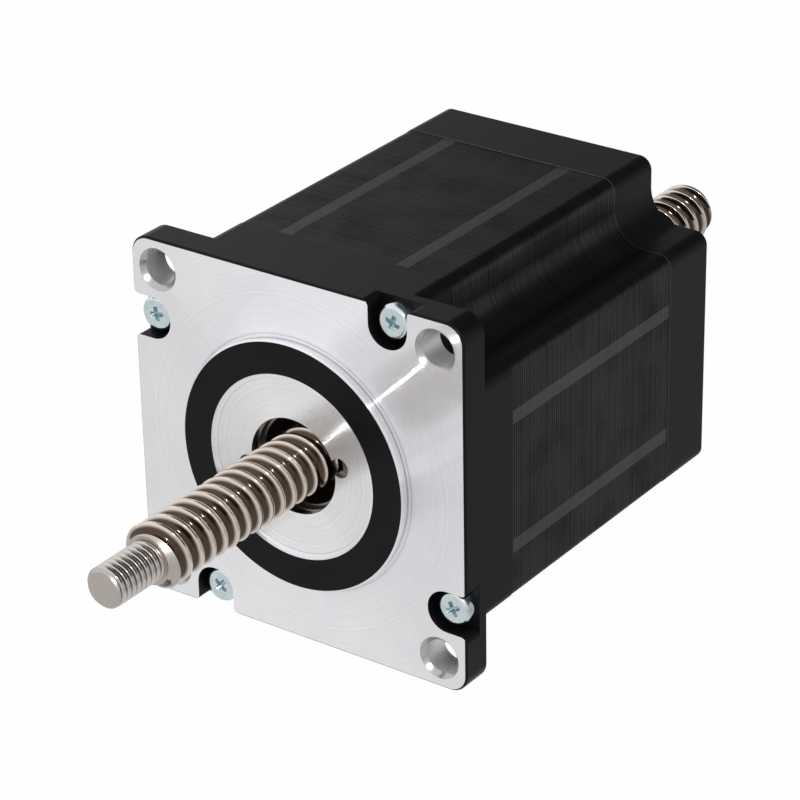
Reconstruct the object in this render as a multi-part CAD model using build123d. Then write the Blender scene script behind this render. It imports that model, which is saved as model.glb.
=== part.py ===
from build123d import *
import math
import os

# Non-captive linear stepper motor, in millimetres.
# The motor axis is Y: the mounting face lies in the plane y = 0 and looks along -Y.
# X points right and Z up, and the origin is the centre of the mounting face.

# Motor body outline
body_side = 56.4
bolt_edge = 4.63
bolt_hole_r = 2.55
bolt_rim_chamfer = 0.7
notch_r = 5.0
shoulder_r = 2.0
flange_corner_r = 3.0
flange_t = 4.8
flange_edge_chamfer = 0.3
rear_edge_chamfer = 0.5

# Lengths along the axis
front_bell_len = 11.5
stator_len = 40.9
rear_bell_len = 10.6
stator_inset = 0.1

# Pilot boss and the recess turned in it
pilot_to_bolt = 4.52
pilot_h = 1.6
pilot_chamfer = 0.3
recess_step = 0.7
recess_depth = 0.5

# Bearings, one at each end of the rotor
bearing_section = 4.5
bearing_w = 5.0
land_gap = 1.6
shield_gap = 0.25
front_bearing_y = 1.0
bearing_lip = 1.2
lip_overlap = 1.1
spring_washer_t = 0.5
spring_washer_inset = 0.4
rear_wall = 1.1

# Screwed ring that holds the front bearing, with two spanner notches
retainer_step = 0.3
retainer_hole_gap = 0.45
spanner_r = 1.45
spanner_offset = 0.98
spanner_turn = 14.1
retainer_relief = 0.4

# Hollow space inside the end bells
cavity_clearance = 0.1
bell_wall = 5.4
rear_bell_wall = 4.4
hub_wall = 2.6

# Tie screws, in four pockets that open to one edge of the flange each
screw_to_bolt = 7.72
screw_edge = 3.0
tie_r = 1.5
tie_hole_clearance = 0.15
head_r = 2.65
head_h = 2.1
pocket_half = 3.2
pocket_floor = 3.2
pocket_depth = 3.45
pocket_mouth_r = 1.0
tie_end_inset = 2.0

# Stator: eight poles with six teeth each
pole_count = 8
pole_w = 6.0
shoe_t = 2.3
teeth_per_pole = 6
rotor_teeth = 50
tooth_depth = 0.75
slot_share = 0.5
air_gap = 0.1
back_iron_t = 4.8
rotor_share = 0.52837
weld_groove_x = 10.0
weld_groove_w = 2.7
weld_groove_d = 0.3

# Windings and the moulded frames they are wound on
wrap_t = 0.5
end_cap_t = 0.6
coil_t = 2.9
coil_taper = 16.0
coil_corner = 1.8
winding_gap = 0.1
guard_h = 3.4
guard_t = 0.6
guard_w = 9.0

# Rotor
rotor_end_gap = 1.0
magnet_t = 2.4
magnet_inset = 1.7
sleeve_shoulder = 1.0
sleeve_wall = 1.7
sleeve_end_gap = 0.4
nut_wall = 2.5375
nut_seat_wall = 1.2
nut_y = 14.0
nut_len = 24.0
clip_t = 1.0
clip_depth = 0.5
clip_width = 1.5
clip_gap_deg = 40.0

# Lead screw with its turned-down threaded tip
screw_r = 4.7625
screw_running = 0.05
screw_front = 31.8
screw_rear = 105.0
screw_shoulder = 1.0
screw_end_chamfer = 0.6
tip_r = 3.0
tip_len = 10.2
tip_chamfer = 0.5

# Rubber gland for the leads in the left side of the rear bell
gland_w = 5.0
gland_len = 14.0
gland_y = 2.2
gland_lip = 0.8
gland_wall = 1.0
gland_corner = 2.0
gland_clearance = 0.05

half = body_side / 2
bolt = half - bolt_edge
pilot_r = bolt - pilot_to_bolt
screw_along = bolt - screw_to_bolt
screw_out = half - screw_edge
pocket_inner = screw_out - pocket_depth
slot_outer_r = half - back_iron_t
cavity_r = slot_outer_r + cavity_clearance
rotor_r = half * rotor_share
nut_r = screw_r + nut_wall
bearing_bore_r = nut_r + nut_seat_wall
bearing_outer_r = bearing_bore_r + bearing_section
retainer_r = bearing_outer_r + retainer_step
recess_r = retainer_r + recess_step
sleeve_body_r = bearing_bore_r + sleeve_shoulder
sleeve_bore_r = bearing_bore_r - sleeve_wall
retainer_hole_r = sleeve_bore_r + retainer_hole_gap
spanner_path_r = retainer_hole_r + spanner_offset
stator_front = front_bell_len
stator_rear = stator_front + stator_len
rear_face = stator_rear + rear_bell_len
stator_mid = (stator_front + stator_rear) / 2
retainer_front = -pilot_h + recess_depth
front_bearing_end = front_bearing_y + bearing_w
rear_seat_end = rear_face - rear_wall
rear_bearing_end = rear_seat_end - spring_washer_t
rear_bearing_y = rear_bearing_end - bearing_w
hub_r = bearing_outer_r + hub_wall
bearing_mid_r = (bearing_outer_r + bearing_bore_r) / 2
inner_land_r = bearing_mid_r - land_gap / 2
outer_land_r = bearing_mid_r + land_gap / 2
shoe_r = rotor_r + air_gap
shoe_outer_r = shoe_r + shoe_t
tooth_pitch = 360 / rotor_teeth
wound_in = shoe_outer_r + guard_t
wound_out = slot_outer_r - guard_t


def profile_plane(y):
    """Plane across the axis at y, with its own x and y along X and Z."""
    return Plane(origin=(0, y, 0), x_dir=(1, 0, 0), z_dir=(0, -1, 0))


def along_y(sketch, y0, y1):
    """Solid of one outline between two places on the axis."""
    return extrude(profile_plane(y1) * sketch, amount=y1 - y0)


def turned(points):
    """Solid of revolution about the axis from points given as radius and y."""
    return revolve(make_face(Polyline(*points, close=True)), Axis.Y)


def ring(outer, inner, y0, y1):
    return turned([(inner, y0), (outer, y0), (outer, y1), (inner, y1)])


def four_ways():
    """The four quarter turns that carry one side of the flange to the next."""
    return [Rot(0, 90 * k, 0) for k in range(4)]


def body_outline(side):
    """Square with a round-bottomed notch at each corner, beside the mounting bolts."""
    outline = Rectangle(2 * side, 2 * side)
    reach = side - bolt + notch_r
    corner = side - reach / 2
    for sx in (-1, 1):
        for sz in (-1, 1):
            notch = Rectangle(reach, reach)
            inner = notch.vertices().sort_by(lambda v: v.X * sx + v.Y * sz)[0]
            notch = fillet(inner, notch_r)
            outline -= Pos(sx * corner, sz * corner) * notch
    shoulders = [v for v in outline.vertices() if max(abs(v.X), abs(v.Y)) > side - 0.01]
    return fillet(shoulders, shoulder_r)


def pocket_tool():
    """Space around one tie screw head, open to the edge of the flange."""
    mouth = half + 1
    slot = Pos(screw_along, (mouth + pocket_inner) / 2) * Rectangle(2 * pocket_half, mouth - pocket_inner)
    floor_corners = slot.vertices().sort_by(Axis.Y)[:2]
    slot = fillet(floor_corners, pocket_half * 0.98)
    flare = Pos(screw_along, half) * Rectangle(2 * (pocket_half + pocket_mouth_r), 2 * pocket_mouth_r)
    for sx in (-1, 1):
        rounding = Pos(screw_along + sx * (pocket_half + pocket_mouth_r), half - pocket_mouth_r)
        flare -= rounding * Circle(pocket_mouth_r)
    return along_y(slot + flare, -pilot_h, pocket_floor)


def tie_places(y0, y1, r):
    """Rods at the four tie screws."""
    rod = along_y(Pos(screw_along, screw_out) * Circle(r), y0, y1)
    return [turn * rod for turn in four_ways()]


def front_bell():
    flange = along_y(RectangleRounded(body_side, body_side, flange_corner_r), 0, flange_t)
    front_edge = flange.faces().sort_by(Axis.Y)[0].edges()
    flange = chamfer(front_edge, flange_edge_chamfer)
    bell = flange + along_y(body_outline(half), flange_t, front_bell_len)
    pilot = turned([
        (0, 0),
        (0, -pilot_h),
        (pilot_r - pilot_chamfer, -pilot_h),
        (pilot_r, -pilot_h + pilot_chamfer),
        (pilot_r, 0),
    ])
    bell += pilot
    lip_end = front_bearing_end + bearing_lip
    bell -= ring(cavity_r, hub_r, bell_wall, front_bell_len)
    bell -= turned([
        (0, -pilot_h),
        (recess_r, -pilot_h),
        (recess_r, retainer_front),
        (retainer_r, retainer_front),
        (retainer_r, front_bearing_y),
        (bearing_outer_r, front_bearing_y),
        (bearing_outer_r, front_bearing_end),
        (bearing_outer_r - lip_overlap, front_bearing_end),
        (bearing_outer_r - lip_overlap, lip_end),
        (0, lip_end),
    ])
    bell -= ring(hub_r, 0, lip_end, front_bell_len)
    for sx in (-1, 1):
        for sz in (-1, 1):
            bell -= Pos(sx * bolt, 0, sz * bolt) * turned([
                (0, 0),
                (bolt_hole_r + bolt_rim_chamfer, 0),
                (bolt_hole_r, bolt_rim_chamfer),
                (bolt_hole_r, flange_t),
                (0, flange_t),
            ])
    bell -= [turn * pocket_tool() for turn in four_ways()]
    bell -= tie_places(pocket_floor, front_bell_len, tie_r + tie_hole_clearance)
    return bell


def rear_bell():
    bell = along_y(body_outline(half), stator_rear, rear_face)
    rear_edge = bell.faces().sort_by(Axis.Y)[-1].edges()
    bell = chamfer(rear_edge, rear_edge_chamfer)
    cavity_end = rear_face - rear_bell_wall
    bell -= ring(cavity_r, hub_r, stator_rear, cavity_end)
    bell -= ring(hub_r, 0, stator_rear, rear_bearing_y - sleeve_end_gap)
    bell -= ring(bearing_outer_r, 0, rear_bearing_y - sleeve_end_gap, rear_seat_end)
    bell -= ring(retainer_hole_r, 0, rear_seat_end, rear_face)
    bell -= tie_places(stator_rear, rear_face, tie_r)
    bell -= gland_core(gland_clearance, half - cavity_r + gland_wall)
    return bell


def gland_outline(grow):
    return RectangleRounded(gland_w + 2 * grow, gland_len + 2 * grow, gland_corner + grow)


def gland_core(grow, depth):
    """Plug that fills the lead opening from the left side inwards."""
    middle = stator_rear + gland_y + gland_w / 2
    plane = Plane(origin=(-half, middle, 0), x_dir=(0, 1, 0), z_dir=(1, 0, 0))
    return extrude(plane * gland_outline(grow), amount=depth)


def lead_gland():
    """Rubber gland, flush with the side, with a round way for each of four leads."""
    gland = gland_core(0, half - cavity_r)
    middle = stator_rear + gland_y + gland_w / 2
    for k in range(4):
        z = (k - 1.5) * gland_len / 4.6
        plane = Plane(origin=(-half, middle, z), x_dir=(0, 1, 0), z_dir=(1, 0, 0))
        gland -= extrude(plane * Circle(gland_lip), amount=half - cavity_r)
    return gland


def bearing_retainer():
    relief_r = outer_land_r
    body = turned([
        (retainer_hole_r, retainer_front),
        (retainer_r, retainer_front),
        (retainer_r, front_bearing_y),
        (relief_r, front_bearing_y),
        (relief_r, front_bearing_y - retainer_relief),
        (retainer_hole_r, front_bearing_y - retainer_relief),
    ])
    for side in (-1, 1):
        notch = Rot(0, 0, spanner_turn) * Pos(side * spanner_path_r, 0) * Circle(spanner_r)
        body -= along_y(notch, retainer_front, front_bearing_y)
    return body


def outer_ring(y):
    """Outer ring of a sealed bearing, filled in as far as its seals reach."""
    return ring(bearing_outer_r, inner_land_r + shield_gap, y, y + bearing_w)


def inner_ring(y):
    return ring(inner_land_r, bearing_bore_r, y, y + bearing_w)


def spring_washer():
    """Spring washer pressed flat between the rear bearing and the bell."""
    outer = bearing_outer_r - spring_washer_inset
    inner = outer_land_r + spring_washer_inset
    return ring(outer, inner, rear_bearing_end, rear_seat_end)


def tie_screws():
    """Four long pan-head screws that clamp the bells to the stator."""
    end = rear_face - tie_end_inset
    head_front = pocket_floor - head_h
    one = turned([
        (0, head_front),
        (head_r, head_front),
        (head_r, pocket_floor),
        (tie_r, pocket_floor),
        (tie_r, end),
        (0, end),
    ])
    return [turn * Pos(screw_along, 0, screw_out) * one for turn in four_ways()]


def pole_shape():
    """One pole with its toothed shoe, as an outline standing on +Y of the sketch."""
    neck = Pos(0, (shoe_r + slot_outer_r) / 2 + 0.5) * Rectangle(pole_w, slot_outer_r - shoe_r + 1)
    half_angle = math.radians(tooth_pitch * teeth_per_pole / 2 - tooth_pitch * slot_share / 2)
    reach = slot_outer_r
    wedge = make_face(Polyline(
        (0, 0),
        (reach * math.sin(half_angle), reach * math.cos(half_angle)),
        (-reach * math.sin(half_angle), reach * math.cos(half_angle)),
        close=True,
    ))
    shoe = (Circle(shoe_outer_r) & wedge)
    pole = neck + shoe
    return pole


def stator_core():
    """Laminated core: back iron, eight poles and forty-eight teeth."""
    core = body_outline(half - stator_inset)
    groove = Rectangle(weld_groove_w, 2 * weld_groove_d)
    for k in range(4):
        for sx in (-1, 1):
            core -= Rot(0, 0, 90 * k) * Pos(sx * weld_groove_x, half - stator_inset) * groove
    core -= Circle(slot_outer_r)
    for k in range(pole_count):
        core += Rot(0, 0, 360 * k / pole_count) * pole_shape()
    core -= Circle(shoe_r)
    slot_w = 2 * (shoe_r + tooth_depth) * math.sin(math.radians(tooth_pitch * slot_share / 2))
    slot = Pos(0, shoe_r) * Rectangle(slot_w, 2 * tooth_depth)
    slots = Sketch()
    for k in range(pole_count):
        for j in range(teeth_per_pole - 1):
            a = 360 * k / pole_count + (j - (teeth_per_pole - 2) / 2) * tooth_pitch
            slots += Rot(0, 0, a) * slot
    core -= slots
    for k in range(4):
        core -= Rot(0, 0, 90 * k) * Pos(screw_along, screw_out) * Circle(tie_r + tie_hole_clearance)
    return along_y(core, stator_front, stator_rear)


def winding_frame(end, out):
    """Moulded frame on one end of the core; out is -1 at the front and 1 at the rear."""
    inner_edge = wound_in - guard_t + winding_gap
    outer_edge = wound_out + guard_t - winding_gap
    arm_w = pole_w + 2 * wrap_t
    far = end + out * end_cap_t
    tip = end + out * guard_h

    def block(w, r0, r1, y0, y1):
        outline = Pos(0, (r0 + r1) / 2) * Rectangle(w, r1 - r0)
        return along_y(outline, min(y0, y1), max(y0, y1))

    arm = block(arm_w, inner_edge, outer_edge, end, far)
    arm += block(guard_w, inner_edge, inner_edge + guard_t - winding_gap, end, tip)
    frame = ring(outer_edge, wound_out, min(end, tip), max(end, tip))
    arm = arm & ring(outer_edge, 0, min(end, tip), max(end, tip))
    for k in range(pole_count):
        frame += Rot(0, 360 * k / pole_count, 0) * arm
    return frame


def coil(k):
    """One winding around pole k, thicker towards the back of its slot."""
    inner_w = pole_w + 2 * wrap_t
    inner_l = stator_len + 2 * end_cap_t
    plane = Plane(origin=(0, stator_mid, wound_in), x_dir=(1, 0, 0), z_dir=(0, 0, 1))
    outline = Rectangle(inner_w + 2 * coil_t, inner_l + 2 * coil_t)
    outline = chamfer(outline.vertices(), coil_corner)
    body = extrude(plane * outline, amount=wound_out - wound_in - winding_gap, taper=-coil_taper)
    core = extrude(plane * Rectangle(inner_w, inner_l), amount=wound_out - wound_in)
    slot_back = ring(wound_out - winding_gap, 0, stator_front - stator_len, stator_rear + stator_len)
    return Rot(0, 360 * k / pole_count, 0) * ((body - core) & slot_back)


def rotor_sleeve():
    """Hollow shaft that carries the rotor and holds the nut."""
    front = front_bearing_y + sleeve_end_gap
    rear = rear_bearing_end + sleeve_end_gap / 2
    nut_end = nut_y + nut_len
    return turned([
        (sleeve_bore_r, front),
        (bearing_bore_r, front),
        (bearing_bore_r, front_bearing_end),
        (sleeve_body_r, front_bearing_end),
        (sleeve_body_r, rear_bearing_y),
        (bearing_bore_r, rear_bearing_y),
        (bearing_bore_r, rear),
        (nut_r, rear),
        (nut_r, nut_end + clip_t),
        (nut_r + clip_depth, nut_end + clip_t),
        (nut_r + clip_depth, nut_end),
        (nut_r, nut_end),
        (nut_r, nut_y),
        (sleeve_bore_r, nut_y),
    ])


def lead_nut():
    """Bronze nut of the rotor, with its bore at the screw's outside diameter."""
    bore = screw_r + screw_running
    end = nut_y + nut_len
    return ring(nut_r, bore, nut_y, end)


def nut_clip():
    """Inside retaining ring behind the nut, open over a part of a turn."""
    y0 = nut_y + nut_len
    outline = Circle(nut_r + clip_depth) - Circle(nut_r + clip_depth - clip_width)
    reach = nut_r + clip_depth + 1
    side = reach * math.tan(math.radians(clip_gap_deg / 2))
    outline -= make_face(Polyline((0, 0), (side, reach), (-side, reach), close=True))
    return along_y(outline, y0, y0 + clip_t)


def rotor_cup(y0, y1, turn):
    """Toothed steel half of the rotor, turned by a share of a tooth pitch."""
    outline = Circle(rotor_r) - Circle(sleeve_body_r)
    root_r = rotor_r - tooth_depth
    gap_w = 2 * root_r * math.sin(math.radians(tooth_pitch * slot_share / 2))
    gap = Pos(0, rotor_r) * Rectangle(gap_w, 2 * tooth_depth)
    gaps = Sketch()
    for k in range(rotor_teeth):
        gaps += Rot(0, 0, tooth_pitch * (k + turn)) * gap
    return along_y(outline - gaps, y0, y1)


def lead_screw():
    """Screw with a shoulder and a turned-down tip at the front and a flat rear end."""
    tip_end = -screw_front - tip_len
    return turned([
        (0, tip_end),
        (tip_r - tip_chamfer, tip_end),
        (tip_r, tip_end + tip_chamfer),
        (tip_r, -screw_front),
        (screw_r - screw_shoulder, -screw_front),
        (screw_r, -screw_front + screw_shoulder),
        (screw_r, screw_rear - screw_end_chamfer),
        (screw_r - screw_end_chamfer, screw_rear),
        (0, screw_rear),
    ])


def save(name, *shapes):
    solids = []
    for shape in shapes:
        group = shape if isinstance(shape, list) else [shape]
        for item in group:
            solids += item.solids()
    whole = solids[0] if len(solids) == 1 else Compound(children=solids)
    export_step(whole, "parts/" + name + ".step")


os.makedirs("parts", exist_ok=True)

rotor_front = stator_front + rotor_end_gap
rotor_rear = stator_rear - rotor_end_gap
magnet_front = stator_mid - magnet_t / 2
magnet_rear = stator_mid + magnet_t / 2

save("front_bell", front_bell())
save("bearing_retainer", bearing_retainer())
save("stator_core", stator_core())
save("front_winding_frame", winding_frame(stator_front, -1))
save("rear_winding_frame", winding_frame(stator_rear, 1))
save("phase_a_windings", [coil(k) for k in range(0, pole_count, 2)])
save("phase_b_windings", [coil(k) for k in range(1, pole_count, 2)])
save("rear_bell", rear_bell())
save("spring_washer", spring_washer())
save("tie_screws", tie_screws())
save("lead_gland", lead_gland())
save("rotor_sleeve", rotor_sleeve())
save("rotor_front_cup", rotor_cup(rotor_front, magnet_front, 0))
save("rotor_rear_cup", rotor_cup(magnet_rear, rotor_rear, 0.5))
save("rotor_magnet", ring(rotor_r - magnet_inset, sleeve_body_r, magnet_front, magnet_rear))
save("lead_nut", lead_nut())
save("nut_clip", nut_clip())
save("lead_screw", lead_screw())
for place, start in (("front", front_bearing_y), ("rear", rear_bearing_y)):
    save(place + "_bearing_outer_ring", outer_ring(start))
    save(place + "_bearing_inner_ring", inner_ring(start))
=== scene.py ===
import bpy
import math
from mathutils import Matrix, Vector


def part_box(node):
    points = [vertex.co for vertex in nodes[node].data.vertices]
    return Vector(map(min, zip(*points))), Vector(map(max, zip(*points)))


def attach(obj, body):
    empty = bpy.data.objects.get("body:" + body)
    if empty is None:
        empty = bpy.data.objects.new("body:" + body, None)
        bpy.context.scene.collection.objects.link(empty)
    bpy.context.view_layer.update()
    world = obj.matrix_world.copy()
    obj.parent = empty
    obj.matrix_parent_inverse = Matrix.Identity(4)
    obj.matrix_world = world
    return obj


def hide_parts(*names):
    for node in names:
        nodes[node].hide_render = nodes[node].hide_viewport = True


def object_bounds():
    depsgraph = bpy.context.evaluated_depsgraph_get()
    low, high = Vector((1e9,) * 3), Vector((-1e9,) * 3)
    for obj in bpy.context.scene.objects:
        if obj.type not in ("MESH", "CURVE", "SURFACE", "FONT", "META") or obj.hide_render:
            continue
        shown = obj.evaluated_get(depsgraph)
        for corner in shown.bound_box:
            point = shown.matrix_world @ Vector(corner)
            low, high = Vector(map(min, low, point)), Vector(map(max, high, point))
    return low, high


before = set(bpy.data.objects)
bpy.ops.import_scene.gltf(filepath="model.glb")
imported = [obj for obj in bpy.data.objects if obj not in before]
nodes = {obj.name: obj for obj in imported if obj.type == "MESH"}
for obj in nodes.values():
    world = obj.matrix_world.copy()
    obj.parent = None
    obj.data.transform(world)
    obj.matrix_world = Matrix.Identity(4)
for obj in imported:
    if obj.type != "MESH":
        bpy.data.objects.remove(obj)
cadLow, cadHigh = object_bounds()
mm = 0.001
samePoint = 0.001 * mm  # points nearer than this are merged
fullTurn = 2 * math.pi
print("frame loaded with", len(nodes), "nodes")


# Colours are written as sRGB hex and turned to the linear values that Blender works in
def fromHex(code):
    parts = [int(code[i:i + 2], 16) / 255 for i in (1, 3, 5)]
    linear = [v / 12.92 if v <= 0.04045 else ((v + 0.055) / 1.055) ** 2.4 for v in parts]
    return (*linear, 1.0)


# Adds one node; inputs hold a value, or an output socket to link from
def addNode(tree, kind, settings=None, inputs=None):
    node = tree.nodes.new(kind)
    for name, value in (settings or {}).items():
        setattr(node, name, value)
    for name, value in (inputs or {}).items():
        if isinstance(value, bpy.types.NodeSocket):
            tree.links.new(value, node.inputs[name])
        else:
            node.inputs[name].default_value = value
    return node


# A material with its shader set, and the object coordinates that its pattern reads
def startMaterial(name, base, metallic, roughness, extra=None):
    material = bpy.data.materials.new(name)
    material.use_nodes = True
    tree = material.node_tree
    shader = tree.nodes["Principled BSDF"]
    shader.inputs["Base Color"].default_value = fromHex(base)
    shader.inputs["Metallic"].default_value = metallic
    shader.inputs["Roughness"].default_value = roughness
    for key, value in (extra or {}).items():
        shader.inputs[key].default_value = value
    place = addNode(tree, "ShaderNodeTexCoord").outputs["Object"]
    return material, tree, shader, place


# Lays a 0 to 1 pattern on the surface as colour, roughness and relief (depth, strength)
def layPattern(tree, shader, pattern, colours=None, roughness=None, relief=None):
    if colours:
        blend = addNode(tree, "ShaderNodeMix", {"data_type": "RGBA"},
                        {0: pattern, 6: fromHex(colours[0]), 7: fromHex(colours[1])})
        tree.links.new(blend.outputs[2], shader.inputs["Base Color"])
    if roughness:
        span = addNode(tree, "ShaderNodeMapRange", {},
                       {"Value": pattern, "To Min": roughness[0], "To Max": roughness[1]})
        tree.links.new(span.outputs["Result"], shader.inputs["Roughness"])
    if relief:
        bump = addNode(tree, "ShaderNodeBump", {},
                       {"Height": pattern, "Distance": relief[0], "Strength": relief[1]})
        tree.links.new(bump.outputs["Normal"], shader.inputs["Normal"])


# Distance from the motor axis, and the direction away from it, for turned surfaces
def roundTheAxis(tree, place):
    flat = addNode(tree, "ShaderNodeVectorMath", {"operation": "MULTIPLY"},
                   {0: place, 1: (1, 0, 1)}).outputs[0]
    radius = addNode(tree, "ShaderNodeVectorMath", {"operation": "LENGTH"}, {0: flat}).outputs["Value"]
    outward = addNode(tree, "ShaderNodeVectorMath", {"operation": "NORMALIZE"}, {0: flat}).outputs[0]
    return radius, outward


# Aluminium faced on a lathe, nearly white. Its rings are finer than the eye, and each leans to or
# from the axis, a few of them steeply, so a small light is drawn out to one thin ray that points at
# the axis. The rings and patches that show are drawn coarser than the tool left them.
def facedAluminium(name, light, dark, roughness):
    marks = {"lean": 0.66, "steepLean": 0.56, "steepPower": 9.0, "ringPitch": 0.35 * mm,
             "patchSize": 9 * mm, "sheenFrom": 0.1, "sheenTo": 0.45}
    material, tree, shader, place = startMaterial(name, light, 1.0, roughness[0])
    radius, outward = roundTheAxis(tree, place)
    seed = addNode(tree, "ShaderNodeMath", {"operation": "MULTIPLY"}, {0: radius, 1: 1 / mm}).outputs[0]
    seed = addNode(tree, "ShaderNodeTexWhiteNoise", {"noise_dimensions": "1D"}, {"W": seed}).outputs["Value"]
    seed = addNode(tree, "ShaderNodeMapRange", {},
                   {"Value": seed, "To Min": -1.0, "To Max": 1.0}).outputs["Result"]
    steep = addNode(tree, "ShaderNodeMath", {"operation": "POWER"},
                    {0: seed, 1: marks["steepPower"]}).outputs[0]
    lean = addNode(tree, "ShaderNodeMath", {"operation": "MULTIPLY"},
                   {0: seed, 1: marks["lean"]}).outputs[0]
    lean = addNode(tree, "ShaderNodeMath", {"operation": "MULTIPLY_ADD"},
                   {0: steep, 1: marks["steepLean"], 2: lean}).outputs[0]
    turned = addNode(tree, "ShaderNodeVectorMath", {"operation": "SCALE"},
                     {0: outward, "Scale": lean}).outputs[0]
    flat = addNode(tree, "ShaderNodeNewGeometry").outputs["Normal"]
    turned = addNode(tree, "ShaderNodeVectorMath", {"operation": "ADD"}, {0: flat, 1: turned}).outputs[0]
    turned = addNode(tree, "ShaderNodeVectorMath", {"operation": "NORMALIZE"}, {0: turned}).outputs[0]
    tree.links.new(turned, shader.inputs["Normal"])
    rings = addNode(tree, "ShaderNodeTexNoise", {"noise_dimensions": "1D"},
                    {"W": radius, "Scale": 1 / marks["ringPitch"],
                     "Detail": 3.0, "Roughness": 0.6}).outputs[0]
    patches = addNode(tree, "ShaderNodeTexNoise", {},
                      {"Vector": place, "Scale": 1 / marks["patchSize"], "Detail": 2.0}).outputs[0]
    both = addNode(tree, "ShaderNodeMath", {"operation": "MULTIPLY"}, {0: rings, 1: patches}).outputs[0]
    sheen = addNode(tree, "ShaderNodeMapRange", {},
                    {"Value": both, "From Min": marks["sheenFrom"], "From Max": marks["sheenTo"]}).outputs[0]
    layPattern(tree, shader, sheen, (dark, light), (roughness[1], roughness[0]))
    return material


# Satin black stoving paint on die-cast aluminium: near black and dull, with a faint orange peel,
# soft clouds and a few specks of dust
def stovedPaint():
    skin = {"base": "#0A090B", "light": "#131215", "dark": "#070608", "gloss": 0.12,
            "roughness": (0.32, 0.42), "cloudSize": 14 * mm, "peelSize": 0.9 * mm,
            "peel": (0.02 * mm, 0.35), "dustSpacing": 2 * mm, "dustSize": (0.05, 0.09)}
    material, tree, shader, place = startMaterial("satinBlackStovingPaint", skin["base"], 0.0, 0.4,
                                                  {"Specular IOR Level": skin["gloss"]})
    peel = addNode(tree, "ShaderNodeTexNoise", {},
                   {"Vector": place, "Scale": 1 / skin["peelSize"], "Detail": 3.0}).outputs[0]
    cloud = addNode(tree, "ShaderNodeTexNoise", {},
                    {"Vector": place, "Scale": 1 / skin["cloudSize"], "Detail": 4.0}).outputs[0]
    dust = addNode(tree, "ShaderNodeTexVoronoi", {"feature": "F1"},
                   {"Vector": place, "Scale": 1 / skin["dustSpacing"]}).outputs["Distance"]
    speck = addNode(tree, "ShaderNodeMapRange", {},
                    {"Value": dust, "From Min": skin["dustSize"][0], "From Max": skin["dustSize"][1],
                     "To Min": 1.0, "To Max": 0.0}).outputs[0]
    tone = addNode(tree, "ShaderNodeMath", {"operation": "MAXIMUM"}, {0: cloud, 1: speck}).outputs[0]
    layPattern(tree, shader, tone, (skin["dark"], skin["light"]), skin["roughness"])
    layPattern(tree, shader, peel, relief=skin["peel"])
    return material


# Half-millimetre steel sheets, blued and thinly lacquered: a dark, slightly brown metal that
# mirrors the room softly, with fine lines across the axis where the sheets meet
def lacqueredStack(name, light, dark, lineStrength, roughness):
    stack = {"tint": (0.6, 0.6, 0.6, 1), "sheet": 0.5 * mm, "lineShare": 0.3, "lineDepth": 0.05 * mm,
             "bundle": 0.6 * mm, "bundleSpan": (0.35, 0.65), "faintest": 0.6, "cloudSize": 7 * mm,
             "toneSpan": (0.05, 0.45)}
    material, tree, shader, place = startMaterial(name, dark, 1.0, roughness[0],
                                                  {"Specular Tint": stack["tint"]})
    along = addNode(tree, "ShaderNodeSeparateXYZ", {}, {0: place}).outputs["Y"]
    sheets = addNode(tree, "ShaderNodeMath", {"operation": "MULTIPLY"},
                     {0: along, 1: 1 / stack["sheet"]}).outputs[0]
    lines = addNode(tree, "ShaderNodeMath", {"operation": "PINGPONG"}, {0: sheets, 1: 0.5}).outputs[0]
    lines = addNode(tree, "ShaderNodeMapRange", {},
                    {"Value": lines, "From Min": 0.0, "From Max": stack["lineShare"]}).outputs[0]
    bundles = addNode(tree, "ShaderNodeTexNoise", {"noise_dimensions": "1D"},
                      {"W": along, "Scale": 1 / stack["bundle"],
                       "Detail": 1.0, "Roughness": 0.8}).outputs[0]
    bundles = addNode(tree, "ShaderNodeMapRange", {},
                      {"Value": bundles,
                       "From Min": stack["bundleSpan"][0], "From Max": stack["bundleSpan"][1],
                       "To Min": stack["faintest"], "To Max": 1.0}).outputs["Result"]
    cloud = addNode(tree, "ShaderNodeTexNoise", {},
                    {"Vector": place, "Scale": 1 / stack["cloudSize"], "Detail": 5.0}).outputs[0]
    uneven = addNode(tree, "ShaderNodeMath", {"operation": "MULTIPLY"}, {0: lines, 1: bundles}).outputs[0]
    tone = addNode(tree, "ShaderNodeMath", {"operation": "MULTIPLY"}, {0: uneven, 1: cloud}).outputs[0]
    tone = addNode(tree, "ShaderNodeMapRange", {},
                   {"Value": tone, "From Min": stack["toneSpan"][0],
                    "From Max": stack["toneSpan"][1]}).outputs[0]
    layPattern(tree, shader, tone, (dark, light), roughness)
    layPattern(tree, shader, uneven, relief=(stack["lineDepth"], lineStrength))
    return material


# Metal with a fine even texture: its grain is the mark that the tool, roller or bath left, drawn
# coarser than it is so that it shows
def plainMetal(name, light, dark, roughness, grain, stretch=(1, 1, 1), depth=0.004 * mm):
    reliefStrength = 0.3
    material, tree, shader, place = startMaterial(name, light, 1.0, roughness[0])
    drawn = addNode(tree, "ShaderNodeMapping", {}, {"Vector": place, "Scale": stretch}).outputs[0]
    noise = addNode(tree, "ShaderNodeTexNoise", {},
                    {"Vector": drawn, "Scale": 1 / grain, "Detail": 4.0, "Roughness": 0.6}).outputs[0]
    layPattern(tree, shader, noise, (dark, light), (roughness[1], roughness[0]), (depth, reliefStrength))
    return material


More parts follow.
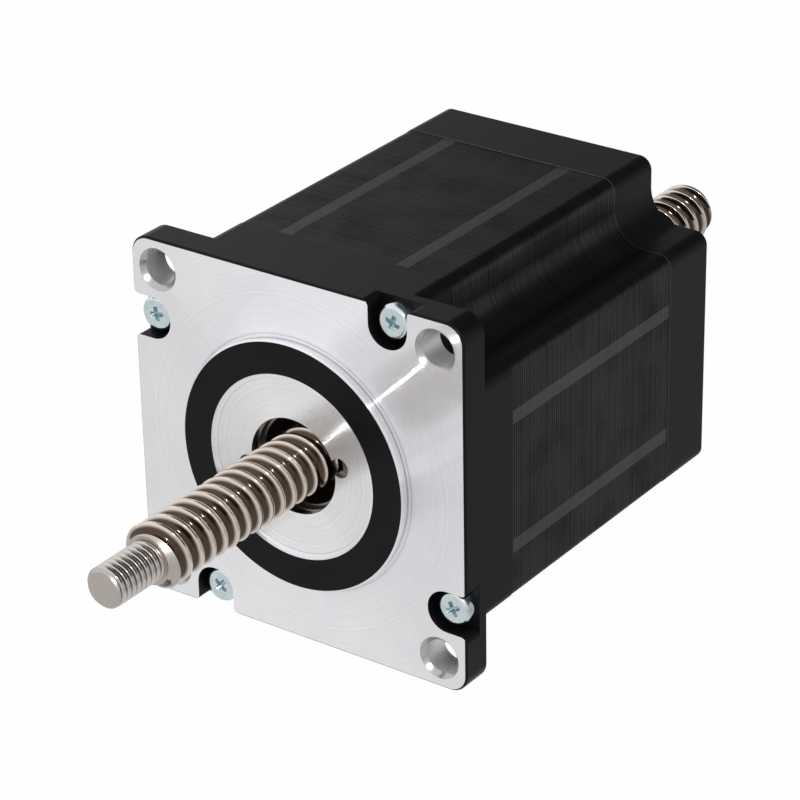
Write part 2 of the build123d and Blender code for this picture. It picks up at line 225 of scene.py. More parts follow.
# Rolled or cut thread: bright metal crests, and grooves painted dark brown by radius as painted shade
def threadMetal(name, crest, shadedRoot, radii, roughness):
    threadGrain = {"grain": 0.7 * mm, "relief": (0.004 * mm, 0.3)}
    material, tree, shader, place = startMaterial(name, crest, 1.0, roughness[0])
    radius = roundTheAxis(tree, place)[0]
    height = addNode(tree, "ShaderNodeMapRange", {"interpolation_type": "SMOOTHSTEP"},
                     {"Value": radius, "From Min": radii[0], "From Max": radii[1]}).outputs["Result"]
    noise = addNode(tree, "ShaderNodeTexNoise", {},
                    {"Vector": place, "Scale": 1 / threadGrain["grain"], "Detail": 4.0}).outputs[0]
    # painted shade: the colour darkens from the crest down into the groove
    layPattern(tree, shader, height, (shadedRoot, crest), (roughness[1], roughness[0]))
    layPattern(tree, shader, noise, relief=threadGrain["relief"])
    return material


# Moulded plastic or rubber: dull sheen over a fine spark-eroded skin, drawn coarser so that it shows
def mouldedSkin(name, light, dark, roughness, grain):
    relief = (0.02 * mm, 0.3)
    material, tree, shader, place = startMaterial(name, light, 0.0, roughness[0])
    noise = addNode(tree, "ShaderNodeTexNoise", {},
                    {"Vector": place, "Scale": 1 / grain, "Detail": 5.0, "Roughness": 0.7}).outputs[0]
    layPattern(tree, shader, noise, (dark, light), roughness, relief)
    return material


# Enamelled copper wire laid in rows: glossy round turns side by side, under a clear coat
def enamelledWire(name, light, dark):
    wire = {"diameter": 0.55 * mm, "relief": (0.2 * mm, 0.8), "roughness": (0.4, 0.28), "metallic": 0.75}
    material, tree, shader, place = startMaterial(name, light, wire["metallic"], 0.3,
                                                  {"Coat Weight": 0.5, "Coat Roughness": 0.15})
    radius = roundTheAxis(tree, place)[0]
    turns = addNode(tree, "ShaderNodeMath", {"operation": "MULTIPLY"},
                    {0: radius, 1: 1 / wire["diameter"]}).outputs[0]
    rows = addNode(tree, "ShaderNodeMath", {"operation": "PINGPONG"}, {0: turns, 1: 0.5}).outputs[0]
    layPattern(tree, shader, rows, (dark, light), wire["roughness"], wire["relief"])
    return material


finishes = {
    # faced on a lathe: the flange mirrors the room along its rings, the disc more softly
    "bareFace": facedAluminium("facedAluminiumFlange", "#FAF9FC", "#F0EFF3", (0.04, 0.06)),
    "discFace": facedAluminium("facedAluminiumDisc", "#FCFBFC", "#F2F1F1", (0.13, 0.18)),
    # drilled walls are matt and pale, and the countersinks are shinier and greyer
    "drilled": plainMetal("drilledAluminium", "#FDFCFB", "#F0EFEE", (0.45, 0.6), 0.5 * mm),
    "sunk": plainMetal("countersunkAluminium", "#CFCDCB", "#A9A7A5", (0.2, 0.3), 0.4 * mm),
    "paint": stovedPaint(),
    "stack": lacqueredStack("lacqueredLaminations", "#504C4D", "#272528", 0.3, (0.42, 0.28)),
    "weld": lacqueredStack("lacqueredWeldSeam", "#676567", "#575557", 0.05, (0.42, 0.36)),
    # zinc plate is bright and a little blue, with a wavy skin; the cross is painted darker as painted shade
    "zincShade": plainMetal("zincRecessPaintedShade", "#D3E8EC", "#5F8C98", (0.12, 0.25), 0.35 * mm,
                            depth=0.05 * mm),
    "zinc": plainMetal("brightZincPlate", "#F1F6F7", "#BBD0D6", (0.1, 0.2), 0.9 * mm, depth=0.05 * mm),
    # the screws' grooves are painted dark brown as painted shade
    "rolledScrew": threadMetal("rolledStainlessThread", "#E2D6CC", "#54463C",
                               (4.15 * mm, 4.68 * mm), (0.09, 0.13)),
    "cutTip": threadMetal("cutStainlessTipThread", "#D3CDC8", "#776F69",
                          (2.6 * mm, 2.95 * mm), (0.14, 0.22)),
    # turned ends of the screw are warm grey and satin
    "cutEnd": plainMetal("turnedScrewEnd", "#CFC8C2", "#B3ABA5", (0.3, 0.42), 0.3 * mm),
    # ground rings are smooth and bright, and the rotor's steel shows lines along its turning
    "bearing": plainMetal("groundBearingSteel", "#C9C9CB", "#AFAFB2", (0.14, 0.22), 0.4 * mm),
    "sleeve": plainMetal("turnedSteelSleeve", "#A79E96", "#7D746C", (0.2, 0.34), 0.3 * mm, (1, 6, 1)),
    "rotor": plainMetal("groundRotorSteel", "#9C9A98", "#6F6D6B", (0.3, 0.45), 0.5 * mm, (1, 8, 1)),
    # tempered steel is dark and satin, nickel plate is warm and smooth
    "spring": plainMetal("temperedSpringSteel", "#77777C", "#55555A", (0.26, 0.38), 0.5 * mm),
    "magnet": plainMetal("nickelPlatedMagnet", "#A5A29B", "#85827C", (0.2, 0.3), 0.9 * mm),
    "nut": mouldedSkin("brownAcetalNut", "#55361F", "#382213", (0.24, 0.34), 0.6 * mm),
    # the rear bell's front edge is a thin brown line, lighter than the paint: painted highlight over worn
    # paint
    "wornEdgeHighlight": plainMetal("wornEdgePaintedHighlight", "#8A8079", "#4F4945", (0.4, 0.55), 0.8 * mm),
    "nylon": mouldedSkin("mouldedNylonFrame", "#E6E2D6", "#D3CEC0", (0.42, 0.55), 0.4 * mm),
    "rubber": mouldedSkin("blackNitrileGland", "#1C1B1C", "#121112", (0.6, 0.75), 0.3 * mm),
    "wireA": enamelledWire("enamelledCopperPhaseA", "#B5642F", "#7A3A18"),
    "wireB": enamelledWire("enamelledCopperPhaseB", "#A85A2A", "#6F3415"),
}
print("materials ready:", len(finishes))


def clearSelection():
    if bpy.context.object and bpy.context.object.mode != "OBJECT":
        bpy.ops.object.mode_set(mode="OBJECT")
    bpy.ops.object.select_all(action="DESELECT")


def makeActive(piece):
    clearSelection()
    piece.select_set(True)
    bpy.context.view_layer.objects.active = piece


# Ends in edit mode with the chosen faces selected, by their middle in millimetres and their normal
def pickFaces(piece, wanted):
    makeActive(piece)
    bpy.ops.object.mode_set(mode="EDIT")
    bpy.ops.mesh.select_mode(type="FACE")
    bpy.ops.mesh.select_all(action="DESELECT")
    bpy.ops.object.mode_set(mode="OBJECT")
    for face in piece.data.polygons:
        face.select = wanted(face.center / mm, face.normal)
    bpy.ops.object.mode_set(mode="EDIT")


# Gives a finish to the chosen faces, or to all of them
def coat(piece, finish, wanted=None):
    if finish.name not in piece.data.materials:
        piece.data.materials.append(finish)
    piece.active_material_index = piece.data.materials.find(finish.name)
    pickFaces(piece, wanted or (lambda middle, normal: True))
    bpy.ops.object.material_slot_assign()
    bpy.ops.object.mode_set(mode="OBJECT")


def applyModifier(piece, kind, settings):
    makeActive(piece)
    bpy.ops.object.modifier_add(type=kind)
    modifier = piece.modifiers[-1]
    for name, value in settings.items():
        setattr(modifier, name, value)
    bpy.ops.object.modifier_apply(modifier=modifier.name)


# Cuts with another piece, or keeps what is inside it, and deletes the cutter
def carve(piece, operation, cutter):
    applyModifier(piece, "BOOLEAN", {"operation": operation, "solver": "EXACT", "object": cutter})
    bpy.data.objects.remove(cutter)


def smooth(piece, degrees):
    makeActive(piece)
    bpy.ops.object.shade_smooth_by_angle(angle=math.radians(degrees))


# Lets each large face keep its own direction, so that only the broken edges look round
def keepFlats(piece):
    applyModifier(piece, "WEIGHTED_NORMAL", {"mode": "FACE_AREA", "weight": 100, "keep_sharp": True})


def finishPiece(piece, name, body, slotName, *replaced):
    piece.name = name
    piece.data.name = name
    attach(piece, body)
    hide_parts(*replaced)


# For all copies of CAD nodes, in degrees: how flat merged faces are, and which edges count as sharp
copied = {"flatWithin": 0.4, "sharpFrom": 32, "bevelSegments": 2}


# A copy of a CAD node, merged to whole faces, with its sharp edges broken
def easedCopy(nodeName, edgeBreak):
    piece = bpy.data.objects.new(nodeName + "_eased", nodes[nodeName].data.copy())
    bpy.context.scene.collection.objects.link(piece)
    piece.data.materials.clear()
    makeActive(piece)
    bpy.ops.mesh.customdata_custom_splitnormals_clear()
    bpy.ops.object.mode_set(mode="EDIT")
    bpy.ops.mesh.select_all(action="SELECT")
    bpy.ops.mesh.remove_doubles(threshold=samePoint)
    bpy.ops.mesh.dissolve_limited(angle_limit=math.radians(copied["flatWithin"]))
    bpy.ops.object.mode_set(mode="OBJECT")
    if edgeBreak:
        applyModifier(piece, "BEVEL", {"width": edgeBreak, "segments": copied["bevelSegments"],
                                       "limit_method": "ANGLE",
                                       "angle_limit": math.radians(copied["sharpFrom"]),
                                       "use_clamp_overlap": True, "miter_outer": "MITER_ARC"})
    smooth(piece, copied["sharpFrom"])
    keepFlats(piece)
    return piece


# A line of points in the plane z = 0, each given as distance from the axis and place along it
def traceProfile(points):
    clearSelection()
    bpy.ops.mesh.primitive_plane_add(size=mm, location=(0, 0, 0))
    line = bpy.context.object
    bpy.ops.object.mode_set(mode="EDIT")
    bpy.ops.mesh.select_mode(type="VERT")
    bpy.ops.mesh.merge(type="CENTER")
    bpy.ops.transform.translate(value=(points[0][0], points[0][1], 0))
    for (r0, y0), (r1, y1) in zip(points, points[1:]):
        bpy.ops.mesh.extrude_region_move(TRANSFORM_OT_translate={"value": (r1 - r0, y1 - y0, 0)})
    bpy.ops.object.mode_set(mode="OBJECT")
    return line


# A closed shape turned from its profile, with its faces pointing outwards
def turnProfile(points, steps):
    piece = traceProfile(points)
    applyModifier(piece, "SCREW", {"axis": "Y", "angle": fullTurn, "steps": steps, "render_steps": steps,
                                   "use_merge_vertices": True, "merge_threshold": samePoint})
    bpy.ops.object.mode_set(mode="EDIT")
    bpy.ops.mesh.select_all(action="SELECT")
    bpy.ops.mesh.remove_doubles(threshold=samePoint)
    bpy.ops.mesh.normals_make_consistent(inside=False)
    bpy.ops.object.mode_set(mode="OBJECT")
    return piece


# Half of one ridge, from the middle of the groove to the crest: a curved flank, then a rounded
# shoulder, each point given as depth below the crest and distance from the ridge's middle
def ridgeHalf(thread):
    depth, crest, reach = thread["depth"], thread["crest"], thread["shoulder"]
    steps, shape = thread["grooveSteps"], thread["rootShape"]
    groove = (thread["pitch"] - crest) / 2
    half = [(depth * (1 - (j / steps) ** shape), thread["pitch"] / 2 - groove * j / steps)
            for j in range(steps)]
    slope = depth * shape
    steepness = math.hypot(slope, groove)
    flank = (reach * slope / steepness, crest / 2 + reach * groove / steepness)
    corner, top = (0, crest / 2), (0, crest / 2 - reach)
    for j in range(thread["shoulderSteps"] + 1):
        t = j / thread["shoulderSteps"]
        half.append(tuple((1 - t) ** 2 * flank[i] + 2 * t * (1 - t) * corner[i] + t * t * top[i]
                          for i in (0, 1)))
    return half


# A rod with a thread of any number of starts, closed at both ends and chamfered there
def threadedRod(thread):
    radius, pitch = thread["radius"], thread["pitch"]
    lead = pitch * thread["starts"]
    start = thread["crestAt"] - pitch / 2
    start -= lead * math.ceil((start + lead - thread["from"]) / lead)
    half = ridgeHalf(thread)
    points = []
    for k in range(thread["starts"]):
        middle = start + (k + 0.5) * pitch
        points += [(radius - depth, middle - away) for depth, away in half]
        points += [(radius - depth, middle + away) for depth, away in reversed(half[1:])]
    points.append((radius - thread["depth"], start + lead))
    turns = math.ceil((thread["to"] - start) / lead)
    rod = traceProfile(points)
    applyModifier(rod, "SCREW", {"axis": "Y", "angle": fullTurn, "screw_offset": lead, "iterations": turns,
                                 "steps": thread["steps"], "render_steps": thread["steps"]})
    bpy.ops.object.mode_set(mode="EDIT")
    bpy.ops.mesh.select_all(action="SELECT")
    bpy.ops.mesh.remove_doubles(threshold=samePoint)
    for place, facing in ((thread["from"], -1), (thread["to"], 1)):
        bpy.ops.mesh.select_mode(type="EDGE")
        bpy.ops.mesh.select_all(action="SELECT")
        bpy.ops.mesh.bisect(plane_co=(0, place, 0), plane_no=(0, facing, 0), clear_outer=True,
                            threshold=samePoint)
        bpy.ops.mesh.extrude_region_move(TRANSFORM_OT_translate={"value": (0, 0, 0)})
        bpy.ops.mesh.merge(type="CENTER")
    bpy.ops.mesh.select_all(action="SELECT")
    bpy.ops.mesh.normals_make_consistent(inside=False)
    bpy.ops.object.mode_set(mode="OBJECT")
    past, spare = 1.0 * mm, 0.2 * mm  # how far the chamfered envelope goes past the ends and the crests
    low, high = thread["chamfers"]
    envelope = turnProfile([
        (0, thread["from"] - past),
        (radius - low - past, thread["from"] - past),
        (radius + spare, thread["from"] + low + spare),
        (radius + spare, thread["to"] - high - spare),
        (radius - high - past, thread["to"] + past),
        (0, thread["to"] + past),
    ], thread["steps"])
    carve(rod, "INTERSECT", envelope)
    smooth(rod, thread["sharpFrom"])
    return rod


# Lead screw: rolled right-hand two-start thread on the body, fine metric thread on the tip
leadScrew = {
    "radius": 4.7625 * mm, "pitch": 2.54 * mm, "starts": 2, "depth": 1.2 * mm, "crest": 0.58 * mm,
    "crestAt": 0.92 * mm, "rootShape": 2.0, "grooveSteps": 6, "shoulder": 0.16 * mm, "shoulderSteps": 3,
    "steps": 72, "sharpFrom": 40,
    "from": -32.8 * mm, "to": cadHigh.y, "chamfers": (1.25 * mm, 0.6 * mm),
}
screwTip = {
    "radius": 3.0 * mm, "pitch": 1.0 * mm, "starts": 1, "depth": 0.42 * mm, "crest": 0.5 * mm,
    "crestAt": 0.0, "rootShape": 1.3, "grooveSteps": 3, "shoulder": 0.08 * mm, "shoulderSteps": 2,
    "steps": 40, "sharpFrom": 40,
    "from": cadLow.y, "to": leadScrew["from"] + 0.4 * mm, "chamfers": (0.5 * mm, 0.0),
}


# What was turned after threading, in millimetres: both flat ends, the ring round the tip and its
# cone, and the chamfer at the tip's end
def isTurnedEnd(middle, normal):
    near, slant = 0.1, 0.08
    shoulderAt, farEnd, tipEnd = leadScrew["from"] / mm, cadHigh.y / mm, cadLow.y / mm
    flatEnd = abs(normal.y) > 0.99 and (middle.y < shoulderAt + near or middle.y > farEnd - near)
    coneLength = leadScrew["chamfers"][0] / mm
    coneRadius = middle.y - shoulderAt - coneLength + leadScrew["radius"] / mm
    onCone = (middle.y < shoulderAt + coneLength + 0.15 and abs(normal.y + math.sqrt(0.5)) < slant
              and abs(math.hypot(middle.x, middle.z) - coneRadius) < slant)
    tipChamfer = middle.y < tipEnd + screwTip["chamfers"][0] / mm and normal.y < -0.5
    return flatEnd or onCone or tipChamfer


screwBody, tipRod = threadedRod(leadScrew), threadedRod(screwTip)
coat(screwBody, finishes["rolledScrew"])
coat(tipRod, finishes["cutTip"])
makeActive(screwBody)
tipRod.select_set(True)
bpy.ops.object.join()
coat(screwBody, finishes["cutEnd"], isTurnedEnd)
finishPiece(screwBody, "threaded_lead_screw", "screw", "screw_steel", "lead_screw")
print("lead screw threaded:", len(screwBody.data.polygons), "faces")


# Tie screws: pan heads with a cross recess, on rods that run through the stack
tieScrew = {
    "headRadius": 2.64 * mm, "headHeight": 2.1 * mm, "headSides": 48, "rodRadius": 1.5 * mm,
    "domeWidth": 0.85 * mm, "domeSegments": 6, "domeShape": 0.62,
    "crossLength": 3.3 * mm, "crossWidth": 0.95 * mm, "crossDepth": 0.75 * mm, "crossTaper": 0.45,
    "edgeBreak": 0.08 * mm, "edgeSegments": 2, "breakFrom": 40, "sharpFrom": 35,
    "shadeFrom": 0.15, "shadeTo": 1.6, "shadeReach": 2.0,
    "along": 15.85 * mm, "edgeGap": 0.05 * mm, "turns": (20, 65, 38, 80),
}
tieLow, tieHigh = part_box("tie_screws")


# The walls and floor of the cross, in millimetres, which get the darker zinc as painted shade
def isRecess(middle, normal):
    deep = middle.y - tieLow.y / mm
    near = math.hypot(middle.x, middle.z) < tieScrew["shadeReach"]
    return near and tieScrew["shadeFrom"] < deep < tieScrew["shadeTo"]


# Two bars at right angles, each narrower at its foot, cut the cross
def cutCross(screw, turned):
    bars = []
    for quarter in (0, 90):
        clearSelection()
        bpy.ops.mesh.primitive_cube_add(
            size=1, location=(0, tieLow.y, 0), rotation=(0, math.radians(turned + quarter), 0),
            scale=(tieScrew["crossLength"], 2 * tieScrew["crossDepth"], tieScrew["crossWidth"]))
        bar = bpy.context.object
        bpy.ops.object.transform_apply(location=True, rotation=True, scale=True)
        pickFaces(bar, lambda middle, normal: normal.y > 0.9)
        bpy.ops.transform.resize(value=(tieScrew["crossTaper"], 1, tieScrew["crossTaper"]))
        bpy.ops.object.mode_set(mode="OBJECT")
        bars.append(bar)
    for bar in bars:
        carve(screw, "DIFFERENCE", bar)


def makeTieScrew(corner, turned):
    headRadius, headHeight = tieScrew["headRadius"], tieScrew["headHeight"]
    clearSelection()
    bpy.ops.mesh.primitive_cylinder_add(vertices=tieScrew["headSides"], radius=headRadius, depth=headHeight,
                                        location=(0, tieLow.y + headHeight / 2, 0),
                                        rotation=(math.pi / 2, 0, 0))
    screw = bpy.context.object
    bpy.ops.object.transform_apply(location=True, rotation=True, scale=True)
    pickFaces(screw, lambda middle, normal: normal.y < -0.9)
    bpy.ops.mesh.bevel(offset=tieScrew["domeWidth"], segments=tieScrew["domeSegments"],
                       profile=tieScrew["domeShape"], affect="EDGES")
    bpy.ops.object.mode_set(mode="OBJECT")
    cutCross(screw, turned)
    applyModifier(screw, "BEVEL", {"width": tieScrew["edgeBreak"], "segments": tieScrew["edgeSegments"],
                                   "limit_method": "ANGLE",
                                   "angle_limit": math.radians(tieScrew["breakFrom"])})
    underHead = (tieLow.y + headHeight) / mm - 0.2
    pickFaces(screw, lambda middle, normal: normal.y > 0.9 and middle.y > underHead)
    bpy.ops.mesh.inset(thickness=headRadius - tieScrew["rodRadius"])
    rodLength = tieHigh.y - tieLow.y - headHeight
    bpy.ops.mesh.extrude_region_move(TRANSFORM_OT_translate={"value": (0, rodLength, 0)})
    bpy.ops.object.mode_set(mode="OBJECT")
    smooth(screw, tieScrew["sharpFrom"])
    keepFlats(screw)
    coat(screw, finishes["zinc"])
    coat(screw, finishes["zincShade"], isRecess)
    out = tieHigh.x - headRadius - tieScrew["edgeGap"]
    place = Matrix.Rotation(math.radians(90 * corner), 4, "Y") @ Vector((tieScrew["along"], 0, out))
    bpy.ops.object.mode_set(mode="EDIT")
    bpy.ops.mesh.select_all(action="SELECT")
    bpy.ops.transform.translate(value=place)
    bpy.ops.object.mode_set(mode="OBJECT")
    return screw


tieScrews = [makeTieScrew(corner, turned) for corner, turned in enumerate(tieScrew["turns"])]
makeActive(tieScrews[0])
for screw in tieScrews[1:]:
    screw.select_set(True)
bpy.ops.object.join()
finishPiece(tieScrews[0], "cross_head_tie_screws", "motor", "zinc_steel", "tie_screws")
print("tie screws made")


# Front bell: painted casting whose face, pilot edge and bolt holes were machined bare. The places
# in "picked" are in millimetres and say where its faces are, and "close" is how near counts.
frontBell = {
    "edgeBreak": 0.12 * mm,
    "reliefInner": 19.2 * mm, "reliefOuter": 19.55 * mm, "reliefDepth": 0.2 * mm, "reliefSteps": 128,
    "picked": {"boltAt": 23.57, "boltReach": 3.4, "boltEnd": 4.7, "pilotFront": -1.6, "ringInner": 14.05,
               "reliefReach": 20.0, "reliefEnd": 0.3, "close": 0.02},
}


def isBoltHole(middle, normal):
    picked = frontBell["picked"]
    away = math.hypot(abs(middle.x) - picked["boltAt"], abs(middle.z) - picked["boltAt"])
    return away < picked["boltReach"] and picked["close"] < middle.y < picked["boltEnd"]


def isCountersink(middle, normal):
    return isBoltHole(middle, normal) and -0.9 < normal.y < -0.3


# All that was turned: the flange's face, the pilot but for its black ring, the recess and the relief
def isBareFront(middle, normal):
    picked = frontBell["picked"]
    radius = math.hypot(middle.x, middle.z)
    blackRing = abs(middle.y - picked["pilotFront"]) < picked["close"] and normal.y < -0.9
    flangeFace = abs(middle.y) < picked["close"] and normal.y < -0.9
    relief = radius < picked["reliefReach"] and middle.y < picked["reliefEnd"]
    recess = radius < picked["ringInner"]
    return not blackRing and (middle.y < -picked["close"] or flangeFace or recess or relief)


bell = easedCopy("front_bell", frontBell["edgeBreak"])
inner, outer = frontBell["reliefInner"], frontBell["reliefOuter"]
above, depth = -0.02 * mm, frontBell["reliefDepth"]
carve(bell, "DIFFERENCE", turnProfile([(inner, above), (outer, above), (outer, depth), (inner, depth),
                                       (inner, above)], frontBell["reliefSteps"]))
smooth(bell, copied["sharpFrom"])
keepFlats(bell)
coat(bell, finishes["paint"])
coat(bell, finishes["bareFace"], isBareFront)
coat(bell, finishes["drilled"], isBoltHole)
coat(bell, finishes["sunk"], isCountersink)
finishPiece(bell, "machined_front_bell", "motor", "black_paint", "front_bell")

# Disc that holds the front bearing, faced all over
retainer = {"edgeBreak": 0.1 * mm}
disc = easedCopy("bearing_retainer", retainer["edgeBreak"])
coat(disc, finishes["discFace"])
finishPiece(disc, "faced_retainer_disc", "motor", "turned_face", "bearing_retainer")

# Rear bell: painted all over, its front edge by the stack lighter as painted highlight over worn paint
rearCap = {"edgeBreak": 0.12 * mm, "highlightReach": 0.13}
rearBell = easedCopy("rear_bell", rearCap["edgeBreak"])
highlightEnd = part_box("rear_bell")[0].y / mm + rearCap["highlightReach"]
coat(rearBell, finishes["paint"])
coat(rearBell, finishes["wornEdgeHighlight"], lambda middle, normal: middle.y < highlightEnd and -0.95 < normal.y < -0.3)
finishPiece(rearBell, "painted_rear_bell", "motor", "black_paint", "rear_bell")

# Stack of laminations, with the weld seams filling their grooves; its places are in millimetres
stackSides = {"weldMiddle": 10.0, "weldHalf": 1.4, "faceHalf": 27.7, "middle": 31.95, "seamHalf": 20.3,
              "seamRise": 0.29 * mm}


def isWeldSeam(middle, normal):
    for across, out in ((middle.x, middle.z), (middle.z, middle.x)):
        fromSeam = abs(abs(across) - stackSides["weldMiddle"])
        if fromSeam < stackSides["weldHalf"] and abs(out) > stackSides["faceHalf"]:
            return abs(middle.y - stackSides["middle"]) < stackSides["seamHalf"]
    return False


stack = easedCopy("stator_core", 0)
for side in ((1, 0), (-1, 0), (0, 1), (0, -1)):
    pickFaces(stack, lambda middle, normal: (isWeldSeam(middle, normal)
                                             and normal.x * side[0] + normal.z * side[1] > 0.9))
    rise = stackSides["seamRise"]
    bpy.ops.transform.translate(value=(side[0] * rise, 0, side[1] * rise))
    bpy.ops.object.mode_set(mode="OBJECT")
coat(stack, finishes["stack"])
coat(stack, finishes["weld"], isWeldSeam)
finishPiece(stack, "laminated_stator_stack", "motor", "black_stack", "stator_core")
print("body pieces dressed")

# The CAD nodes that stay as they are, each with its real finish
keptNodes = {
    "front_winding_frame": "nylon", "rear_winding_frame": "nylon", "phase_a_windings": "wireA",
    "phase_b_windings": "wireB", "spring_washer": "spring", "lead_gland": "rubber",
    "front_bearing_outer_ring": "bearing", "rear_bearing_outer_ring": "bearing",
    "front_bearing_inner_ring": "bearing", "rear_bearing_inner_ring": "bearing",
    "rotor_sleeve": "sleeve", "rotor_front_cup": "rotor", "rotor_rear_cup": "rotor",
    "rotor_magnet": "magnet", "lead_nut": "nut", "nut_clip": "spring",
}
for nodeName, finish in keptNodes.items():
    nodes[nodeName].data.materials.clear()
    nodes[nodeName].data.materials.append(finishes[finish])
print("CAD nodes given their finishes")


# Camera, at the place and with the lens that the object's own edges fit
cameraView = {
    "place": (249.58 * mm, -319.9 * mm, 214.07 * mm),
    "right": (0.8147, 0.5797, -0.0173), "down": (0.2486, -0.3760, -0.8927),
    "focalPixels": 3303.7, "imageSide": 800, "sensorWidth": 36.0, "nearest": 0.02, "farthest": 20,
}
camera = bpy.data.objects.new("camera", bpy.data.cameras.new("camera"))
bpy.context.scene.collection.objects.link(camera)
camera.data.sensor_width = cameraView["sensorWidth"]
camera.data.lens = cameraView["focalPixels"] * cameraView["sensorWidth"] / cameraView["imageSide"]
camera.data.clip_start, camera.data.clip_end = cameraView["nearest"], cameraView["farthest"]
right, up = Vector(cameraView["right"]), -Vector(cameraView["down"])
facing = Matrix((right, up, right.cross(up))).transposed().to_4x4()
camera.matrix_world = Matrix.Translation(cameraView["place"]) @ facing
bpy.context.scene.camera = camera

# Floor and light: a white sweep, soft light from all round, and one small key lamp for the glints.
# Pairs are a start and an end. What metal mirrors is darker than the white that the camera sees: the
# floor dims from front to rear and near gapAt, and the room dims from left to right and to the rear.
studio = {
    "floorSide": 6.0, "floorGap": 0.02 * mm, "floorColour": "#F4F4F4", "floorGlow": 0.985,
    "floorTurn": (0.0, 0.015), "mirroredFloor": (0.74, 0.52),
    "gapAt": (90 * mm, -20 * mm, 0), "gapStretch": (1.0, 1.6, 1.0), "gapReach": (30 * mm, 65 * mm),
    "gapLevel": 0.75,
    "keyFrom": (0.45, -0.707, 0.50), "keyDistance": 0.9, "keySize": 0.018, "keyPower": 2.4,
    "worldLevel": 0.85, "turnAcross": (1.0, 0.5, 0.0), "turn": (-0.37, 0.0), "mirroredLeft": 1.0,
    "turnBack": (0.3, -0.3), "mirroredRight": (0.08, 0.8),
    "horizonHeight": (0.35, 0.1), "horizon": 0.55,
}
white = (1, 1, 1, 1)

clearSelection()
bpy.ops.mesh.primitive_plane_add(size=studio["floorSide"], location=(0, 0, cadLow.z - studio["floorGap"]))
floor = bpy.context.object
floor.name = "floor"
sweep = bpy.data.materials.new("whitePaperSweep")
sweep.use_nodes = True
tree = sweep.node_tree
tree.nodes.clear()
paths = addNode(tree, "ShaderNodeLightPath")
spot = addNode(tree, "ShaderNodeTexCoord").outputs["Object"]
along = addNode(tree, "ShaderNodeSeparateXYZ", {}, {0: spot}).outputs["Y"]
mirrored = addNode(tree, "ShaderNodeMapRange", {},
                   {"Value": along, "From Min": studio["floorTurn"][0], "From Max": studio["floorTurn"][1],
                    "To Min": studio["mirroredFloor"][0],
                    "To Max": studio["mirroredFloor"][1]}).outputs["Result"]
gap = addNode(tree, "ShaderNodeMapping", {"vector_type": "TEXTURE"},
              {"Vector": spot, "Location": studio["gapAt"], "Scale": studio["gapStretch"]}).outputs[0]
gap = addNode(tree, "ShaderNodeVectorMath", {"operation": "LENGTH"}, {0: gap}).outputs["Value"]
gap = addNode(tree, "ShaderNodeMapRange", {"interpolation_type": "SMOOTHSTEP"},
              {"Value": gap, "From Min": studio["gapReach"][0], "From Max": studio["gapReach"][1],
               "To Min": studio["gapLevel"], "To Max": 1.0}).outputs["Result"]
mirrored = addNode(tree, "ShaderNodeMath", {"operation": "MULTIPLY"}, {0: mirrored, 1: gap}).outputs[0]
paper = addNode(tree, "ShaderNodeBsdfDiffuse", {}, {"Color": fromHex(studio["floorColour"])}).outputs[0]
glow = addNode(tree, "ShaderNodeEmission", {}, {"Color": white, "Strength": 1.0}).outputs[0]
seen = addNode(tree, "ShaderNodeMath", {"operation": "MULTIPLY"},
               {0: paths.outputs["Is Camera Ray"], 1: studio["floorGlow"]}).outputs[0]
direct = addNode(tree, "ShaderNodeMixShader", {}, {0: seen, 1: paper, 2: glow}).outputs[0]
mirror = addNode(tree, "ShaderNodeEmission", {}, {"Color": white, "Strength": mirrored}).outputs[0]
mixed = addNode(tree, "ShaderNodeMixShader", {},
                {0: paths.outputs["Is Glossy Ray"], 1: direct, 2: mirror}).outputs[0]
addNode(tree, "ShaderNodeOutputMaterial", {}, {"Surface": mixed})
floor.data.materials.append(sweep)

light = bpy.data.objects.new("keyLamp", bpy.data.lights.new("keyLamp", "AREA"))
bpy.context.scene.collection.objects.link(light)
direction = Vector(studio["keyFrom"]).normalized()
light.location = direction * studio["keyDistance"]
light.rotation_mode = "QUATERNION"
light.rotation_quaternion = direction.to_track_quat("Z", "Y")
light.data.size = studio["keySize"]
light.data.energy = studio["keyPower"]

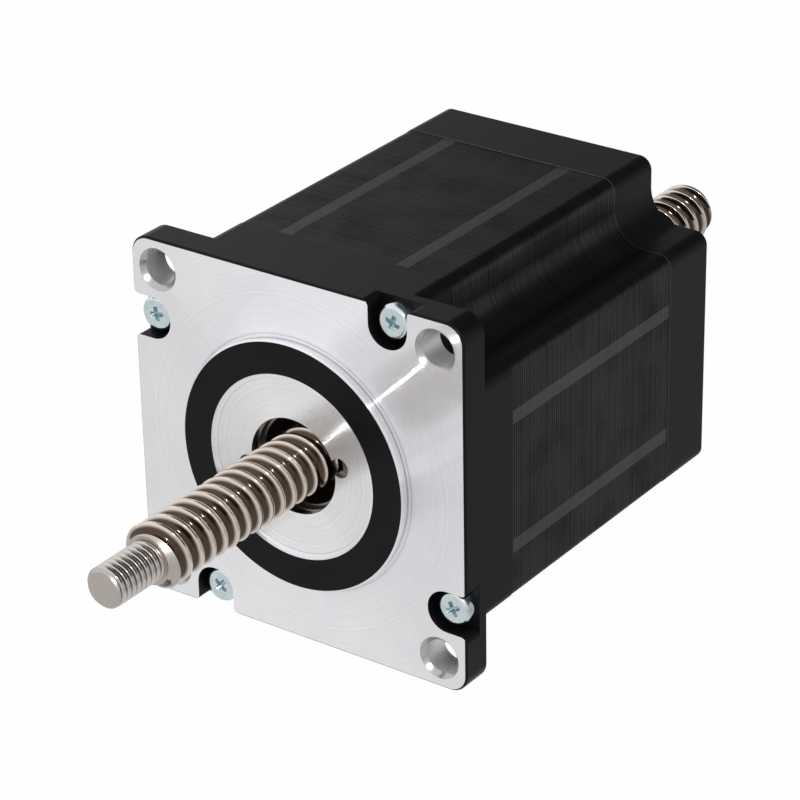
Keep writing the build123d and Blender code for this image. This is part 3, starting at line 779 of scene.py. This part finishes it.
world = bpy.data.worlds.new("studio")
bpy.context.scene.world = world
world.use_nodes = True
tree = world.node_tree
tree.nodes.clear()
paths = addNode(tree, "ShaderNodeLightPath")
towards = addNode(tree, "ShaderNodeTexCoord").outputs["Generated"]
across = addNode(tree, "ShaderNodeVectorMath", {"operation": "DOT_PRODUCT"},
                 {0: towards, 1: studio["turnAcross"]}).outputs["Value"]
parts = addNode(tree, "ShaderNodeSeparateXYZ", {}, {0: towards})
rightSide = addNode(tree, "ShaderNodeMapRange", {},
                    {"Value": parts.outputs["Y"],
                     "From Min": studio["turnBack"][0], "From Max": studio["turnBack"][1],
                     "To Min": studio["mirroredRight"][0],
                     "To Max": studio["mirroredRight"][1]}).outputs["Result"]
side = addNode(tree, "ShaderNodeMapRange", {"interpolation_type": "SMOOTHSTEP"},
               {"Value": across, "From Min": studio["turn"][0], "From Max": studio["turn"][1],
                "To Min": studio["mirroredLeft"], "To Max": rightSide}).outputs["Result"]
horizon = addNode(tree, "ShaderNodeMapRange", {"interpolation_type": "SMOOTHSTEP"},
                  {"Value": parts.outputs["Z"],
                   "From Min": studio["horizonHeight"][0], "From Max": studio["horizonHeight"][1],
                   "To Min": 0.0, "To Max": studio["horizon"]}).outputs["Result"]
level = addNode(tree, "ShaderNodeMath", {"operation": "MAXIMUM"}, {0: side, 1: horizon}).outputs[0]
soft = addNode(tree, "ShaderNodeBackground", {},
               {"Color": white, "Strength": studio["worldLevel"]}).outputs[0]
dim = addNode(tree, "ShaderNodeBackground", {}, {"Color": white, "Strength": level}).outputs[0]
bright = addNode(tree, "ShaderNodeBackground", {}, {"Color": white, "Strength": 1.0}).outputs[0]
mixed = addNode(tree, "ShaderNodeMixShader", {},
                {0: paths.outputs["Is Glossy Ray"], 1: soft, 2: dim}).outputs[0]
mixed = addNode(tree, "ShaderNodeMixShader", {},
                {0: paths.outputs["Is Camera Ray"], 1: mixed, 2: bright}).outputs[0]
addNode(tree, "ShaderNodeOutputWorld", {}, {"Surface": mixed})
bpy.context.scene.view_settings.view_transform = "Standard"
print("camera, floor and lamps placed")

clearSelection()
